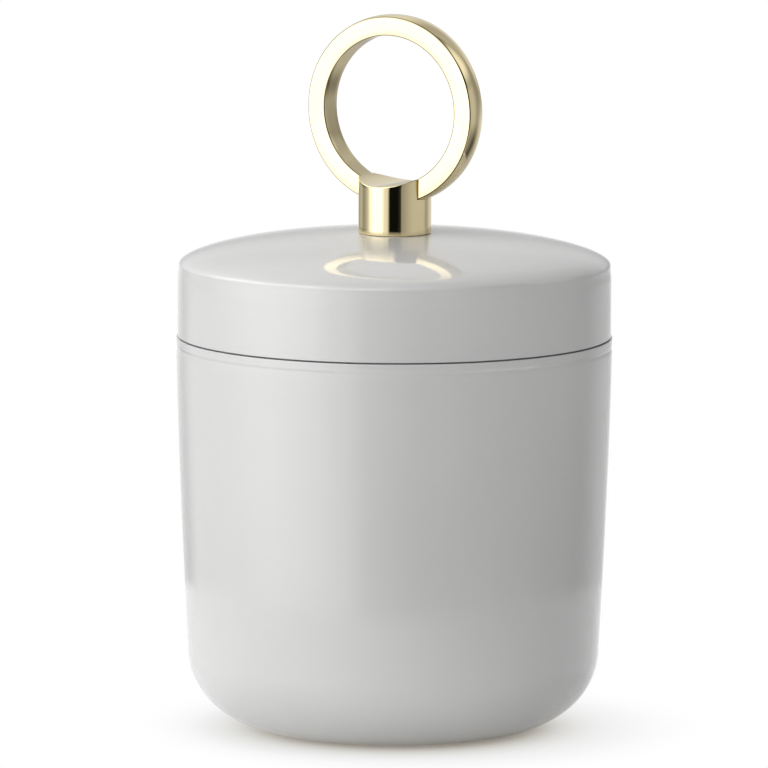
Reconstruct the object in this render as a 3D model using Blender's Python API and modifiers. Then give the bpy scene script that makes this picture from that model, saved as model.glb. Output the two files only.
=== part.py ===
"""Round keepsake box: a spun metal body, a lift-off domed lid and a brass ring handle.

Metres, +Z up. The origin is on the table, under the centre of the base. The ring of the
handle stands in the XZ plane. The lid lifts straight up, along +Z.
"""

import math

import bmesh
import bpy
from mathutils import Matrix

# Clearances
SEAT_GAP = 0.0003
SEAM_GAP = 0.0003
LID_CLEARANCE = 0.0003
SCREW_CLEARANCE = 0.0003
CUT_OVERRUN = 0.002

# Body shell
BODY_HEIGHT = 0.0798
BODY_RADIUS = 0.0440
WALL_DRAW_IN = 0.00245
WALL_CURVE_POWER = 1.43
HEEL_TOP = 0.0160
HEEL_WIDTH = 0.0185
SHEET_GAUGE = 0.0012
RIM_EDGE = 0.0003

# Felt pad under the base, in its recess
PAD_RADIUS = 0.0192
PAD_RECESS_DEPTH = 0.0009
PAD_STANDOFF = 0.0002

# Felt lining on the floor inside
LINING_MARGIN = 0.0006
LINING_THICKNESS = 0.0012

# Collar in the mouth, which guides the lid
COLLAR_GAUGE = 0.0010
COLLAR_BELOW_RIM = 0.0090
COLLAR_ABOVE_RIM = 0.0080
COLLAR_JOGGLE = 0.0015
COLLAR_LEAD_IN = 0.0004

# Lid shell
LID_STEP = 0.00025
LID_HEIGHT = 0.0208
LID_DOME_RADIUS = 0.247
LID_CORNER_WIDTH = 0.0237
LID_CORNER_DROP = 0.0031
LID_CORNER_POWER = 2.66
LID_EDGE = 0.0002

# Ring of the handle
RING_BORE_RADIUS = 0.0151
RING_THICKNESS = 0.0041
RING_CROWN = 0.0003
RING_DEPTH = 0.0050
RING_EDGE = 0.0002

# Post of the handle, with the slot that the ring sits in
POST_RADIUS = 0.00737
POST_SLOT_FLOOR = 0.0051
POST_THREAD_DEPTH = 0.0042
POST_EDGE = 0.0002
POST_TIP_LAND = 0.0003

# Gasket in the foot of the post
GASKET_RADIUS = 0.0055
GASKET_RECESS_DEPTH = 0.0009

# Screw and washers under the lid
SCREW_RADIUS = 0.0020
SCREW_TIP_GAP = 0.0006
SCREW_TIP_EDGE = 0.0004
SCREW_HEAD_RADIUS = 0.0040
SCREW_HEAD_SIDE = 0.0012
SCREW_HEAD_CROWN = 0.0014
SCREW_SOCKET_RADIUS = 0.00144
SCREW_SOCKET_DEPTH = 0.0014
LOAD_WASHER_RADIUS = 0.0090
LOAD_WASHER_THICKNESS = 0.0012
LOAD_WASHER_EDGE = 0.0002
LOCK_WASHER_RADIUS = 0.0038
LOCK_WASHER_THICKNESS = 0.0009
LOCK_WASHER_SPLIT = 0.0006

# Facets round the pieces
SHELL_STEPS = 64
RING_STEPS = 72
POST_STEPS = 48
FASTENER_STEPS = 32
SCREW_MERGE = 0.00001

# Points along the curves
WALL_SPANS = 6
HEEL_SPANS = 7
CORNER_SPANS = 8
CROWN_SPANS = 3
RING_CROWN_SPANS = 4
HEAD_SPANS = 3

QUARTER_TURN = math.pi / 2
FULL_TURN = 2 * math.pi

# Places that follow from the sizes
HEEL_RADIUS = BODY_RADIUS - WALL_DRAW_IN
FLOOR_RADIUS = HEEL_RADIUS - HEEL_WIDTH
FLOOR_TOP = PAD_STANDOFF + PAD_RECESS_DEPTH + SHEET_GAUGE
LID_RADIUS = BODY_RADIUS - LID_STEP
LID_RIM = BODY_HEIGHT + SEAM_GAP
CORNER_START = LID_RADIUS - LID_CORNER_WIDTH
RING_RADIUS = RING_BORE_RADIUS + RING_THICKNESS
SCREW_HOLE_RADIUS = SCREW_RADIUS + SCREW_CLEARANCE

# Colours, as red, green and blue
LACQUER_GREY = (0.56, 0.56, 0.555)
BRASS_GOLD = (0.87, 0.76, 0.50)
STEEL_GREY = (0.55, 0.55, 0.56)
FELT_GREY = (0.16, 0.16, 0.165)
GASKET_BLACK = (0.03, 0.03, 0.03)


def new_collection(name):
    collection = bpy.data.collections.new(name)
    bpy.context.scene.collection.children.link(collection)
    return collection


def new_material(name, colour, roughness, metallic):
    material = bpy.data.materials.new(name)
    material.use_nodes = True
    shader = material.node_tree.nodes["Principled BSDF"]
    shader.inputs["Base Color"].default_value = (*colour, 1.0)
    shader.inputs["Roughness"].default_value = roughness
    shader.inputs["Metallic"].default_value = metallic
    material.diffuse_color = (*colour, 1.0)
    return material


def new_object(name, mesh, collection, parent=None, height=0.0):
    piece = bpy.data.objects.new(name, mesh)
    collection.objects.link(piece)
    piece.parent = parent
    piece.location = (0.0, 0.0, height)
    return piece


def turned(name, profile, closed, steps, material, collection, parent=None, height=0.0):
    """A piece turned about Z. The profile is (radius, height) points, down its outer side."""
    mesh = bpy.data.meshes.new(name)
    count = len(profile)
    edges = [(i, i + 1) for i in range(count - 1)]
    if closed:
        edges.append((count - 1, 0))
    mesh.from_pydata([(radius, 0.0, z) for radius, z in profile], edges, [])
    mesh.materials.append(material)
    piece = new_object(name, mesh, collection, parent, height)
    screw = piece.modifiers.new("turn", "SCREW")
    screw.axis = "Z"
    screw.angle = FULL_TURN
    screw.steps = steps
    screw.render_steps = steps
    screw.use_merge_vertices = True
    screw.merge_threshold = SCREW_MERGE
    screw.use_smooth_shade = False
    return piece


def cutter_cylinder(name, radius, depth, steps, turn, centre, collection, parent=None):
    """A cutter: a cylinder of this depth along Z, then turned and moved to its centre."""
    mesh = bpy.data.meshes.new(name)
    shape = bmesh.new()
    bmesh.ops.create_cone(
        shape, cap_ends=True, segments=steps, radius1=radius, radius2=radius, depth=depth
    )
    bmesh.ops.transform(shape, matrix=turn, verts=shape.verts)
    shape.to_mesh(mesh)
    shape.free()
    cutter = new_object(name, mesh, collection, parent)
    cutter.location = centre
    cutter.hide_render = True
    cutter.display_type = "WIRE"
    return cutter


def cutter_box(name, size, centre, collection, parent=None):
    mesh = bpy.data.meshes.new(name)
    shape = bmesh.new()
    bmesh.ops.create_cube(shape, size=1.0, matrix=Matrix.Diagonal((*size, 1.0)))
    shape.to_mesh(mesh)
    shape.free()
    cutter = new_object(name, mesh, collection, parent)
    cutter.location = centre
    cutter.hide_render = True
    cutter.display_type = "WIRE"
    return cutter


def cut(piece, cutter):
    boolean = piece.modifiers.new("cut_" + cutter.name, "BOOLEAN")
    boolean.operation = "DIFFERENCE"
    boolean.solver = "EXACT"
    boolean.object = cutter


def spans(count):
    """Shares of a length or a turn, from 0 to 1, in equal steps."""
    return [i / count for i in range(count + 1)]


def wall_radius(height):
    """Outer radius of the body's wall, which draws in towards the heel."""
    share = (BODY_HEIGHT - height) / (BODY_HEIGHT - HEEL_TOP)
    return BODY_RADIUS - WALL_DRAW_IN * share**WALL_CURVE_POWER


def wall_points(inset, top):
    """The wall from its top down to the heel."""
    levels = [top + share * (HEEL_TOP - top) for share in spans(WALL_SPANS)]
    return [(wall_radius(z) - inset, z) for z in levels]


def heel_points(inset, bottom):
    """The rounded foot corner, from just below the wall down to the flat of the base."""
    points = []
    for share in spans(HEEL_SPANS)[1:]:
        turn = share * QUARTER_TURN
        radius = FLOOR_RADIUS + (HEEL_WIDTH - inset) * math.cos(turn)
        points.append((radius, HEEL_TOP - (HEEL_TOP - bottom) * math.sin(turn)))
    return points


def make_body_shell(collection, material):
    recess_radius = PAD_RADIUS + SEAT_GAP
    recess_top = PAD_STANDOFF + PAD_RECESS_DEPTH
    inside = wall_points(SHEET_GAUGE, BODY_HEIGHT) + heel_points(SHEET_GAUGE, FLOOR_TOP)
    rim = [(BODY_RADIUS - RIM_EDGE, BODY_HEIGHT)]
    outside = wall_points(0.0, BODY_HEIGHT - RIM_EDGE) + heel_points(0.0, PAD_STANDOFF)
    base = [
        (recess_radius, PAD_STANDOFF),
        (recess_radius, recess_top),
        (0.0, recess_top),
    ]
    profile = [(0.0, FLOOR_TOP)] + inside[::-1] + rim + outside + base
    return turned("body_shell", profile, False, SHELL_STEPS, material, collection)


def make_base_pad(collection, material):
    top = PAD_STANDOFF + PAD_RECESS_DEPTH - SEAT_GAP
    profile = [(0.0, top), (PAD_RADIUS, top), (PAD_RADIUS, 0.0), (0.0, 0.0)]
    return turned("base_pad", profile, False, SHELL_STEPS, material, collection)


def make_floor_lining(collection, material):
    radius = FLOOR_RADIUS - LINING_MARGIN
    profile = [(0.0, LINING_THICKNESS), (radius, LINING_THICKNESS), (radius, 0.0), (0.0, 0.0)]
    height = FLOOR_TOP + SEAT_GAP
    return turned(
        "floor_lining", profile, False, SHELL_STEPS, material, collection, height=height
    )


def make_rim_collar(collection, material):
    """The lower half follows the body's wall, the upper half the lid's."""
    seat_radius = wall_radius(BODY_HEIGHT - COLLAR_BELOW_RIM) - SHEET_GAUGE - SEAT_GAP
    guide_radius = LID_RADIUS - SHEET_GAUGE - LID_CLEARANCE
    outside = [
        (guide_radius - COLLAR_LEAD_IN, COLLAR_ABOVE_RIM),
        (guide_radius, COLLAR_ABOVE_RIM - COLLAR_LEAD_IN),
        (guide_radius, 0.0),
        (seat_radius, -COLLAR_JOGGLE),
        (seat_radius, -COLLAR_BELOW_RIM),
    ]
    inside = [
        (seat_radius - COLLAR_GAUGE, -COLLAR_BELOW_RIM),
        (seat_radius - COLLAR_GAUGE, -COLLAR_JOGGLE),
        (guide_radius - COLLAR_GAUGE, 0.0),
        (guide_radius - COLLAR_GAUGE, COLLAR_ABOVE_RIM),
    ]
    return turned(
        "rim_collar",
        outside + inside,
        True,
        SHELL_STEPS,
        material,
        collection,
        height=BODY_HEIGHT,
    )


def dome_drop(radius):
    """How far the lid's crown has fallen at this radius."""
    return LID_DOME_RADIUS - math.sqrt(LID_DOME_RADIUS**2 - radius**2)


def crown_points(inset):
    """The lid's crown, from the screw's hole out to where the corner starts."""
    points = []
    for share in spans(CROWN_SPANS)[:-1]:
        radius = SCREW_HOLE_RADIUS + share * (CORNER_START - SCREW_HOLE_RADIUS)
        points.append((radius, LID_HEIGHT - inset - dome_drop(radius)))
    return points


def corner_points(inset):
    """The lid's soft corner, from the crown out and down to the skirt."""
    points = []
    for share in spans(CORNER_SPANS):
        turn = share * QUARTER_TURN
        across_share = math.sin(turn) ** (2 / LID_CORNER_POWER)
        left_share = max(math.cos(turn), 0.0) ** (2 / LID_CORNER_POWER)
        radius = CORNER_START + (LID_CORNER_WIDTH - inset) * across_share
        drop = dome_drop(radius) + LID_CORNER_DROP * (1 - left_share)
        points.append((radius, LID_HEIGHT - inset - drop))
    return points


def make_lid_shell(collection, material, lid):
    outside = crown_points(0.0) + corner_points(0.0)
    rim = [(LID_RADIUS, LID_EDGE), (LID_RADIUS - LID_EDGE, 0.0), (LID_RADIUS - SHEET_GAUGE, 0.0)]
    inside = crown_points(SHEET_GAUGE) + corner_points(SHEET_GAUGE)
    profile = outside + rim + inside[::-1]
    return turned("lid_shell", profile, True, SHELL_STEPS, material, collection, lid)


def make_handle_post(collection, material, cutters, lid, foot, ring_centre):
    """The post: turned, threaded from below, slotted for the ring, saddled to its bore."""
    land_radius = POST_RADIUS - POST_TIP_LAND
    saddle_rise = RING_BORE_RADIUS - math.sqrt(RING_BORE_RADIUS**2 - land_radius**2)
    top = ring_centre - RING_BORE_RADIUS + saddle_rise - foot
    recess_radius = GASKET_RADIUS + SEAT_GAP
    profile = [
        (0.0, top),
        (POST_RADIUS, top),
        (POST_RADIUS, POST_EDGE),
        (POST_RADIUS - POST_EDGE, 0.0),
        (recess_radius, 0.0),
        (recess_radius, GASKET_RECESS_DEPTH),
        (SCREW_HOLE_RADIUS, GASKET_RECESS_DEPTH),
        (SCREW_HOLE_RADIUS, POST_THREAD_DEPTH),
        (0.0, POST_THREAD_DEPTH),
    ]
    post = turned(
        "handle_post", profile, False, POST_STEPS, material, collection, lid, foot
    )
    along_y = Matrix.Rotation(QUARTER_TURN, 4, "X")
    centre = (0.0, 0.0, ring_centre)
    slot_width = RING_DEPTH + 2 * SEAT_GAP
    saddle_width = 2 * (POST_RADIUS + CUT_OVERRUN)
    slot = cutter_cylinder(
        "slot_cutter",
        RING_RADIUS + SEAT_GAP,
        slot_width,
        RING_STEPS,
        along_y,
        centre,
        cutters,
        lid,
    )
    saddle = cutter_cylinder(
        "saddle_cutter",
        RING_BORE_RADIUS,
        saddle_width,
        RING_STEPS,
        along_y,
        centre,
        cutters,
        lid,
    )
    cut(post, slot)
    cut(post, saddle)
    return post


def make_handle_ring(collection, material, lid, ring_centre):
    """A ring with a softly crowned outer face, turned about Z and then stood up on its rim."""
    half = RING_DEPTH / 2
    shoulder = RING_RADIUS - RING_CROWN
    outside = []
    for share in spans(RING_CROWN_SPANS):
        side_share = 1 - 2 * share
        radius = RING_RADIUS - RING_CROWN * side_share**2
        outside.append((radius, (half - RING_EDGE) * side_share))
    profile = [
        (shoulder - RING_EDGE, half),
        *outside,
        (shoulder - RING_EDGE, -half),
        (RING_BORE_RADIUS + RING_EDGE, -half),
        (RING_BORE_RADIUS, RING_EDGE - half),
        (RING_BORE_RADIUS, half - RING_EDGE),
        (RING_BORE_RADIUS + RING_EDGE, half),
    ]
    ring = turned(
        "handle_ring", profile, True, RING_STEPS, material, collection, lid, ring_centre
    )
    ring.rotation_euler = (QUARTER_TURN, 0.0, 0.0)
    return ring


def flat_washer(name, radius, thickness, edge, material, collection, parent, height):
    profile = [
        (radius - edge, thickness),
        (radius, thickness - edge),
        (radius, edge),
        (radius - edge, 0.0),
        (SCREW_HOLE_RADIUS, 0.0),
        (SCREW_HOLE_RADIUS, thickness),
    ]
    return turned(
        name, profile, True, FASTENER_STEPS, material, collection, parent, height
    )


def make_post_gasket(collection, material, lid, foot):
    thickness = GASKET_RECESS_DEPTH - SEAT_GAP
    profile = [
        (GASKET_RADIUS, thickness),
        (GASKET_RADIUS, 0.0),
        (SCREW_HOLE_RADIUS, 0.0),
        (SCREW_HOLE_RADIUS, thickness),
    ]
    return turned(
        "post_gasket", profile, True, FASTENER_STEPS, material, collection, lid, foot
    )


def make_lock_washer(collection, material, cutters, lid, height):
    """A split ring that keeps the screw tight."""
    profile = [
        (LOCK_WASHER_RADIUS, LOCK_WASHER_THICKNESS),
        (LOCK_WASHER_RADIUS, 0.0),
        (SCREW_HOLE_RADIUS, 0.0),
        (SCREW_HOLE_RADIUS, LOCK_WASHER_THICKNESS),
    ]
    washer = turned(
        "lock_washer", profile, True, FASTENER_STEPS, material, collection, lid, height
    )
    reach = LOCK_WASHER_RADIUS + CUT_OVERRUN
    split = cutter_box(
        "split_cutter",
        (reach, LOCK_WASHER_SPLIT, LOCK_WASHER_THICKNESS + 2 * CUT_OVERRUN),
        (reach / 2, 0.0, height + LOCK_WASHER_THICKNESS / 2),
        cutters,
        lid,
    )
    cut(washer, split)
    return washer


def make_handle_screw(collection, material, cutters, lid, seat, tip):
    """A button-head screw that points up. Its origin is at the underside of its head."""
    length = tip - seat
    crown = []
    for share in spans(HEAD_SPANS)[1:-1]:
        turn = share * QUARTER_TURN
        radius = SCREW_HEAD_RADIUS * math.cos(turn)
        crown.append((radius, -SCREW_HEAD_SIDE - SCREW_HEAD_CROWN * math.sin(turn)))
    foot = -SCREW_HEAD_SIDE - SCREW_HEAD_CROWN
    profile = [
        (0.0, length),
        (SCREW_RADIUS - SCREW_TIP_EDGE, length),
        (SCREW_RADIUS, length - SCREW_TIP_EDGE),
        (SCREW_RADIUS, 0.0),
        (SCREW_HEAD_RADIUS, 0.0),
        (SCREW_HEAD_RADIUS, -SCREW_HEAD_SIDE),
        *crown,
        (0.0, foot),
    ]
    screw = turned(
        "handle_screw", profile, False, FASTENER_STEPS, material, collection, lid, seat
    )
    socket = cutter_cylinder(
        "socket_cutter",
        SCREW_SOCKET_RADIUS,
        SCREW_SOCKET_DEPTH + CUT_OVERRUN,
        6,
        Matrix.Identity(4),
        (0.0, 0.0, seat + foot + (SCREW_SOCKET_DEPTH - CUT_OVERRUN) / 2),
        cutters,
        lid,
    )
    cut(screw, socket)
    return screw


def main():
    for leftover in list(bpy.data.objects):
        bpy.data.objects.remove(leftover, do_unlink=True)
    parts = new_collection("ring_handle_keepsake_box")
    cutters = new_collection("cutters")
    lacquer = new_material("grey_lacquer", LACQUER_GREY, 0.12, 0.0)
    brass = new_material("polished_brass", BRASS_GOLD, 0.10, 1.0)
    steel = new_material("plated_steel", STEEL_GREY, 0.30, 1.0)
    felt = new_material("charcoal_felt", FELT_GREY, 0.95, 0.0)
    rubber = new_material("gasket_rubber", GASKET_BLACK, 0.70, 0.0)

    # The box, which stands still
    make_body_shell(parts, lacquer)
    make_rim_collar(parts, lacquer)
    make_base_pad(parts, felt)
    make_floor_lining(parts, felt)

    # The lid, whose empty lies on the lift axis at the lid's rim
    lid = new_object("lid_lift_axis", None, parts, height=LID_RIM)
    foot = LID_HEIGHT + SEAT_GAP
    ring_centre = foot + POST_SLOT_FLOOR + SEAT_GAP + RING_RADIUS
    under_crown = LID_HEIGHT - SHEET_GAUGE - dome_drop(LOAD_WASHER_RADIUS)
    load_washer = under_crown - SEAT_GAP - LOAD_WASHER_THICKNESS
    lock_washer = load_washer - SEAT_GAP - LOCK_WASHER_THICKNESS
    screw_seat = lock_washer - SEAT_GAP
    screw_tip = foot + POST_THREAD_DEPTH - SCREW_TIP_GAP
    make_lid_shell(parts, lacquer, lid)
    make_handle_post(parts, brass, cutters, lid, foot, ring_centre)
    make_handle_ring(parts, brass, lid, ring_centre)
    make_post_gasket(parts, rubber, lid, foot)
    flat_washer(
        "load_washer",
        LOAD_WASHER_RADIUS,
        LOAD_WASHER_THICKNESS,
        LOAD_WASHER_EDGE,
        steel,
        parts,
        lid,
        load_washer,
    )
    make_lock_washer(parts, steel, cutters, lid, lock_washer)
    make_handle_screw(parts, steel, cutters, lid, screw_seat, screw_tip)


main()
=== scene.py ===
"""Looks of the round keepsake box: gloss lacquer, polished brass, felt, floor, light and camera.

Metres, +Z up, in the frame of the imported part. Every piece rides on its CAD body, so the lid
lifts with its handle.
"""

import math

import bmesh
import bpy
from mathutils import Matrix, Vector, noise


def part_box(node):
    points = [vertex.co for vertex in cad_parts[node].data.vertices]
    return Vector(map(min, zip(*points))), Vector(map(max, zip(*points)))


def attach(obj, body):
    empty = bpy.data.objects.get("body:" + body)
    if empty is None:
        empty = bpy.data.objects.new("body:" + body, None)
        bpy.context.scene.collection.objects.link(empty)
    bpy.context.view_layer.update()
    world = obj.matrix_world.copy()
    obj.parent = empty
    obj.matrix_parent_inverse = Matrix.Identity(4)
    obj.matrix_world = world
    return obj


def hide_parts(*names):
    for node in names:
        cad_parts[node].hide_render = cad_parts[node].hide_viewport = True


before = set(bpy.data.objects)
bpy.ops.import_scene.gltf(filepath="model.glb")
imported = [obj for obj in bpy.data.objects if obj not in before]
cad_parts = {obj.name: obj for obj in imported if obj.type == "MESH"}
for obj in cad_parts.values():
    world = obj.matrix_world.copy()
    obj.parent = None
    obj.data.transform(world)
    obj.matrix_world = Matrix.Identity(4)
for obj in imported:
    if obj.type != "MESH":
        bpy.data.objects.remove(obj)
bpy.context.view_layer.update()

MM = 0.001
QUARTER = math.pi / 2
TURN = 2 * math.pi
SIXTH = TURN / 6


def radius_of(node):
    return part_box(node)[1].x


def low_of(node):
    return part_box(node)[0].z


def top_of(node):
    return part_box(node)[1].z


# Body shell
BODY_RADIUS = radius_of("body_shell")
BODY_TOP = top_of("body_shell")
FOOT = low_of("body_shell")
GAUGE = 1.2 * MM
SEAT_GAP = 0.3 * MM
WALL_DRAW_IN = 2.45 * MM
WALL_CURVE_POWER = 1.43
HEEL_TOP = 16.0 * MM
HEEL_WIDTH = 18.5 * MM
PAD_RECESS_DEPTH = 0.9 * MM
RIM_ROUND = 0.13 * MM

# A shallow line turned into the wall, just under the rim
GROOVE_BELOW_RIM = 1.95 * MM
GROOVE_DEPTH = 0.13 * MM
GROOVE_UPPER_REACH = 0.3 * MM
GROOVE_LOWER_REACH = 0.5 * MM
GROOVE_ZONE = 5.0 * MM

# Guide collar in the mouth
COLLAR_GAUGE = 1.0 * MM
COLLAR_BELOW_RIM = 9.0 * MM
COLLAR_JOGGLE = 1.5 * MM
COLLAR_LEAD_IN = 0.4 * MM

# Lid shell
LID_RADIUS = radius_of("lid_shell")
LID_RIM = low_of("lid_shell")
LID_DOME_RADIUS = 247.0 * MM
LID_CORNER_WIDTH = 23.7 * MM
LID_CORNER_DROP = 3.1 * MM
LID_CORNER_POWER = 2.66
LID_SHOULDER_EASE = 0.17 * MM
LID_SHOULDER_REACH = 2.4 * MM
LID_RIM_ROUND = 0.06 * MM
SCREW_HOLE_RADIUS = 2.3 * MM

# Ring
RING_RADIUS = radius_of("handle_ring")
RING_HALF_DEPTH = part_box("handle_ring")[1].y
RING_CENTRE = (low_of("handle_ring") + top_of("handle_ring")) / 2
RING_THICKNESS = 4.1 * MM
RING_BORE = RING_RADIUS - RING_THICKNESS
RING_CROWN = 0.30 * MM
RING_EASE = 0.26 * MM
RING_BORE_EASE = 0.12 * MM

# Post
POST_RADIUS = radius_of("handle_post")
POST_EASE = 0.24 * MM
POST_SEAT = 0.04 * MM
POST_THREAD_DEPTH = 4.2 * MM
POST_TURNED_BELOW_RING = 0.4 * MM
GASKET_RECESS_DEPTH = 0.9 * MM
SLOT_EASE_SHARE = 0.3
SLOT_FIT = 0.035 * MM
BRAZE_LIFT = 0.005 * MM

# Screw and washers
SCREW_SIDE = 1.2 * MM
SCREW_CROWN = 1.4 * MM
SCREW_FACE_RADIUS = 2.2 * MM
SOCKET_HALF_WIDTH = 1.25 * MM
SOCKET_CHAMFER = 0.12 * MM
SOCKET_DEPTH = 1.4 * MM
SOCKET_POINT = 0.4 * MM
SOCKET_POINT_SHARE = 0.02
THREAD_RADIUS = 2.0 * MM
THREAD_PITCH = 0.7 * MM
THREAD_DEPTH = 0.38 * MM
PLATED_EASE = 0.2 * MM
LOCK_WASHER_EASE = 0.12 * MM
LOCK_WASHER_SPRING = 0.16 * MM
LOCK_WASHER_SLIT = 0.6 * MM

# Felt discs
PAD_EDGE = 0.25 * MM
LINING_EDGE = 0.35 * MM
FELT_UNEVEN = 0.05 * MM
FELT_LUMP = 4.0 * MM
FELT_TUFT = 0.8 * MM
FELT_TUFT_SHARE = 0.5

# Colours, linear
LACQUER_DARK = (0.595, 0.595, 0.59)
LACQUER_LIGHT = (0.615, 0.615, 0.61)
BRASS_DARK = (0.87, 0.74, 0.44)
BRASS_LIGHT = (0.92, 0.79, 0.49)
# Painted shade: the dark colour of a line along the ring's edges
BRASS_PAINTED_EDGE_SHADE = (0.13, 0.105, 0.06)
STEEL_DARK = (0.50, 0.51, 0.52)
STEEL_LIGHT = (0.66, 0.67, 0.68)
FELT_DARK = (0.012, 0.012, 0.013)
FELT_LIGHT = (0.075, 0.075, 0.08)
RUBBER_DARK = (0.018, 0.018, 0.018)
RUBBER_LIGHT = (0.04, 0.04, 0.04)
WHITE = (1.0, 1.0, 1.0, 1.0)

# Surface detail: the size of its lumps, its depth, and the range of the roughness
LACQUER_CLOUD = 14.0 * MM
LACQUER_PEEL = 1.6 * MM
LACQUER_SWELL = 7.0 * MM
LACQUER_SWELL_WEIGHT = 3.0
LACQUER_PEEL_DEPTH = 0.0006 * MM
LACQUER_ROUGH = (0.42, 0.50)
BRASS_CLOUD = 5.0 * MM
BRASS_WAVE = 0.9 * MM
BRASS_WAVE_DEPTH = 0.0006 * MM
BRASS_HAZE = 0.25 * MM
BRASS_HAZE_STRETCH = (1.0, 1.0, 3.0)
BRASS_ROUGH = (0.03, 0.06)
# Width and strength of the painted shade line along the ring's edges
EDGE_SHADE_LINE = (0.14 * MM, 0.28 * MM)
EDGE_SHADE_SHARE = 0.85
STEEL_CLOUD = 1.5 * MM
STEEL_GRAIN = 0.12 * MM
STEEL_GRAIN_DEPTH = 0.004 * MM
STEEL_ROUGH = (0.24, 0.36)
FELT_STRAND = 0.35 * MM
FELT_STRAND_WAVE = 1.6
FELT_STRANDS_ALONG_X = (0.25, 1.0, 1.0)
FELT_STRANDS_ALONG_Y = (1.0, 0.25, 1.0)
FELT_STRAND_SHARE = 0.7
FELT_STRAND_DEPTH = 0.22 * MM
FELT_MOTTLE = 3.0 * MM
FELT_ROUGH = (0.88, 1.0)
RUBBER_GRAIN = 0.2 * MM
RUBBER_GRAIN_DEPTH = 0.02 * MM
RUBBER_ROUGH = (0.55, 0.75)
NOISE_MIDDLE = (0.3, 0.7)
NOISE_CELLS_PER_LUMP = 0.5

# Facets round the pieces
SHELL_STEPS = 224
RING_STEPS = 320
SMALL_STEPS = 96
FLOOR_STEPS = 128
CHEEK_STEPS = 56
SLOT_STEPS = 8

# Rows down the pieces
CORNER_ROWS = 6
SMALL_CORNER_ROWS = 4
LOCK_WASHER_CORNER_ROWS = 3
GROOVE_ROWS = 64
WALL_ROWS = 44
HEEL_ROWS = 56
INNER_WALL_ROWS = 24
INNER_HEEL_ROWS = 32
CROWN_ROWS = 24
LID_CORNER_ROWS = 84
SKIRT_ROWS = 64
INNER_CROWN_ROWS = 12
INNER_LID_CORNER_ROWS = 36
RING_CROWN_ROWS = 16
CHEEK_ROWS = 6
SCREW_DOME_ROWS = 12
THREAD_ROWS_PER_TURN = 8
FELT_ROWS = 40

# Points closer than this are one point, and edges shorter than a sliver are dropped
WELD = 0.001 * MM
SLIVER = WELD / 10


def shares(count):
    """From 0 to 1 in this many even steps."""
    return [i / count for i in range(count + 1)]


def between(start, end, count):
    """Points from start to end, both included."""
    return [tuple(a + (b - a) * s for a, b in zip(start, end)) for s in shares(count)]


def line_to(profile, point, rows=2):
    """Carries a profile on to this point in a straight line."""
    profile += between(profile[-1], point, rows)[1:]


def corner(centre, radius, first, last, count=CORNER_ROWS):
    """Points round a corner. The angles are in quarter turns from the outward direction."""
    points = []
    for share in shares(count):
        angle = (first + (last - first) * share) * QUARTER
        points.append((centre[0] + radius * math.cos(angle), centre[1] + radius * math.sin(angle)))
    return points


def spaced(first, last, count):
    """Evenly spaced numbers from first to last, both included."""
    return [first + (last - first) * share for share in shares(count)]


def full_turn(steps):
    return spaced(0.0, TURN, steps)


def turned_grid(profile, angles):
    """A grid turned about Z from (radius, height) points, one row for each."""
    return [[(r * math.cos(a), r * math.sin(a), z) for a in angles] for r, z in profile]


def mesh_of(name, grids, sharp_degrees=40.0, caps=()):
    """One smooth mesh from grids of points. Grids that share an edge are welded there."""
    shape = bmesh.new()
    for cap in caps:
        shape.faces.new([shape.verts.new(point) for point in cap])
    for grid in grids:
        rows = [[shape.verts.new(point) for point in row] for row in grid]
        for upper, lower in zip(rows, rows[1:]):
            for i in range(len(upper) - 1):
                shape.faces.new((upper[i], lower[i], lower[i + 1], upper[i + 1]))
    bmesh.ops.remove_doubles(shape, verts=shape.verts, dist=WELD)
    bmesh.ops.dissolve_degenerate(shape, edges=shape.edges, dist=SLIVER)
    bmesh.ops.recalc_face_normals(shape, faces=shape.faces)
    mesh = bpy.data.meshes.new(name)
    shape.to_mesh(mesh)
    shape.free()
    mesh.shade_smooth()
    mesh.set_sharp_from_angle(angle=math.radians(sharp_degrees))
    return mesh


def add_piece(name, mesh, body, material, slot, *nodes):
    """A dressed piece that rides on its body and takes the place of its solid."""
    piece = bpy.data.objects.new(name, mesh)
    bpy.context.scene.collection.objects.link(piece)
    mesh.materials.append(material)
    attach(piece, body)
    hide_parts(*nodes)
    return piece


def wall_radius(height):
    """Outer radius of the body's wall, which draws in towards the heel."""
    share = max(BODY_TOP - height, 0.0) / (BODY_TOP - HEEL_TOP)
    return BODY_RADIUS - WALL_DRAW_IN * share**WALL_CURVE_POWER


def wall_points(start, end, inset, count):
    """The wall's profile between two heights, this far inside its outer face."""
    return [(wall_radius(z) - inset, z) for z in spaced(start, end, count)]


def groove(height):
    """Depth of the line under the rim: steep above, easing out below."""
    below = BODY_TOP - GROOVE_BELOW_RIM - height
    reach = GROOVE_LOWER_REACH if below > 0 else GROOVE_UPPER_REACH
    return GROOVE_DEPTH * math.exp(-((below / reach) ** 2))


def heel_profile(inset, bottom, count):
    """The rounded foot corner, from the wall down to the flat of the base."""
    centre = BODY_RADIUS - WALL_DRAW_IN - HEEL_WIDTH
    points = []
    for share in shares(count):
        turn = share * QUARTER
        radius = centre + (HEEL_WIDTH - inset) * math.cos(turn)
        points.append((radius, HEEL_TOP - (HEEL_TOP - bottom) * math.sin(turn)))
    return points


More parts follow.
